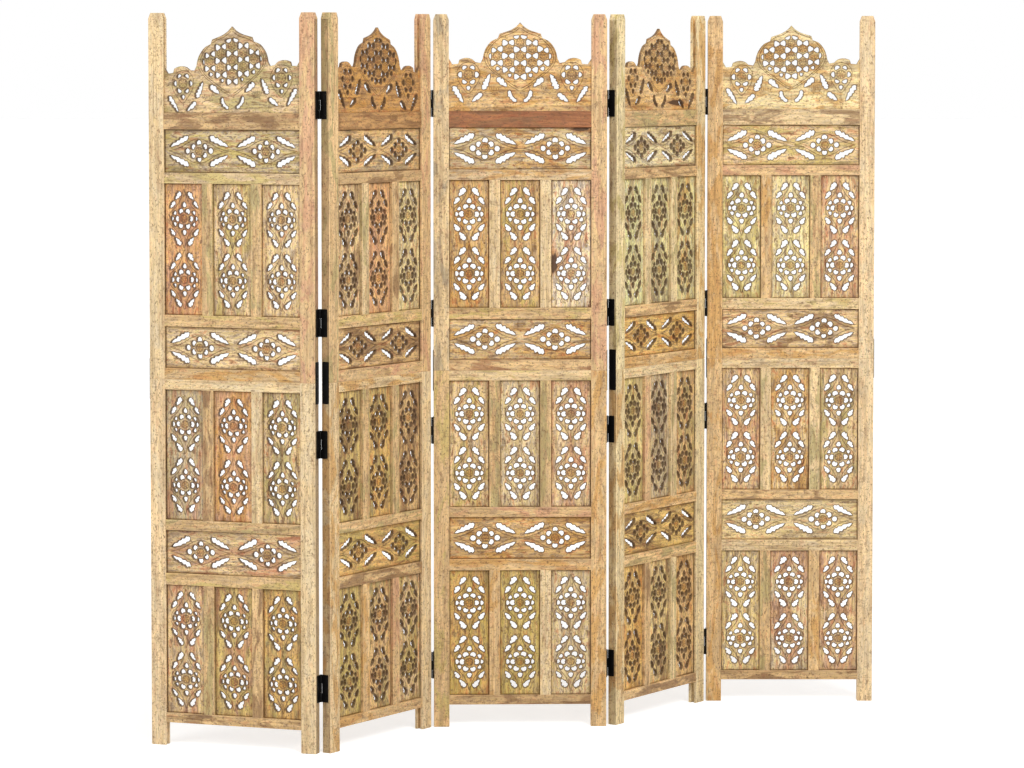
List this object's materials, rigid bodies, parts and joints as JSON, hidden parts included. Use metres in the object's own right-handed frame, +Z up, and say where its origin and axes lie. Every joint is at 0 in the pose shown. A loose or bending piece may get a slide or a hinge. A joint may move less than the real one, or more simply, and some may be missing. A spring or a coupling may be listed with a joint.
{
  "type": "folding screen",
  "caption": "Free-standing folding screen of hinged panels: grooved wooden frames, pierced carved jali boards and an arched, pierced crest between the stiles of each panel.",
  "frame": {"origin": "centre of the bounding box at floor level, with the panels standing in the zigzag of the rest pose", "axes": "+X along the row of panels from panel_1 to panel_5, the carved front facing -Y, +Z up"},
  "size_m": [1.6854, 0.7316, 1.65],
  "materials": {
    "mango_wood": "sanded, waxed, open pores",
    "black_steel": "black, semi-gloss"
  },
  "bodies": {
    "panel_1": {"panel_1_left_stiles": "mango_wood", "panel_1_right_stiles": "mango_wood", "panel_1_lower_rails": "mango_wood", "panel_1_upper_rails": "mango_wood", "panel_1_muntins": "mango_wood", "panel_1_jali_boards": "mango_wood", "panel_1_band_boards": "mango_wood", "panel_1_crest": "mango_wood", "panel_1_joint_plates": "black_steel", "panel_1_hinge_leaves": "black_steel"},
    "panel_2": {"panel_2_left_stiles": "mango_wood", "panel_2_right_stiles": "mango_wood", "panel_2_lower_rails": "mango_wood", "panel_2_upper_rails": "mango_wood", "panel_2_muntins": "mango_wood", "panel_2_jali_boards": "mango_wood", "panel_2_band_boards": "mango_wood", "panel_2_crest": "mango_wood", "panel_2_joint_plates": "black_steel", "panel_2_hinge_leaves": "black_steel", "hinge_pins_1_2": "black_steel"},
    "panel_3": {"panel_3_left_stiles": "mango_wood", "panel_3_right_stiles": "mango_wood", "panel_3_lower_rails": "mango_wood", "panel_3_upper_rails": "mango_wood", "panel_3_muntins": "mango_wood", "panel_3_jali_boards": "mango_wood", "panel_3_band_boards": "mango_wood", "panel_3_crest": "mango_wood", "panel_3_joint_plates": "black_steel", "panel_3_hinge_leaves": "black_steel", "hinge_pins_2_3": "black_steel", "hinge_pins_3_4": "black_steel"},
    "panel_4": {"panel_4_left_stiles": "mango_wood", "panel_4_right_stiles": "mango_wood", "panel_4_lower_rails": "mango_wood", "panel_4_upper_rails": "mango_wood", "panel_4_muntins": "mango_wood", "panel_4_jali_boards": "mango_wood", "panel_4_band_boards": "mango_wood", "panel_4_crest": "mango_wood", "panel_4_joint_plates": "black_steel", "panel_4_hinge_leaves": "black_steel", "hinge_pins_4_5": "black_steel"},
    "panel_5": {"panel_5_left_stiles": "mango_wood", "panel_5_right_stiles": "mango_wood", "panel_5_lower_rails": "mango_wood", "panel_5_upper_rails": "mango_wood", "panel_5_muntins": "mango_wood", "panel_5_jali_boards": "mango_wood", "panel_5_band_boards": "mango_wood", "panel_5_crest": "mango_wood", "panel_5_joint_plates": "black_steel", "panel_5_hinge_leaves": "black_steel"}
  },
  "joints": [
    {"name": "fold_1_2", "type": "hinge", "parent": "panel_2", "child": "panel_1", "pos_m": [-0.45378, -0.34279, 0], "axis": [0, 0, -1], "range_deg": [-76, 103]},
    {"name": "fold_2_3", "type": "hinge", "parent": "panel_3", "child": "panel_2", "pos_m": [-0.21026, -0.01922, 0], "axis": [0, 0, 1], "range_deg": [-55.5, 116.5]},
    {"name": "fold_3_4", "type": "hinge", "parent": "panel_3", "child": "panel_4", "pos_m": [0.19287, 0.01935, 0], "axis": [0, 0, 1], "range_deg": [-55, 117]},
    {"name": "fold_4_5", "type": "hinge", "parent": "panel_4", "child": "panel_5", "pos_m": [0.4392, 0.34078, 0], "axis": [0, 0, -1], "range_deg": [-56.5, 122.5]}
  ]
}
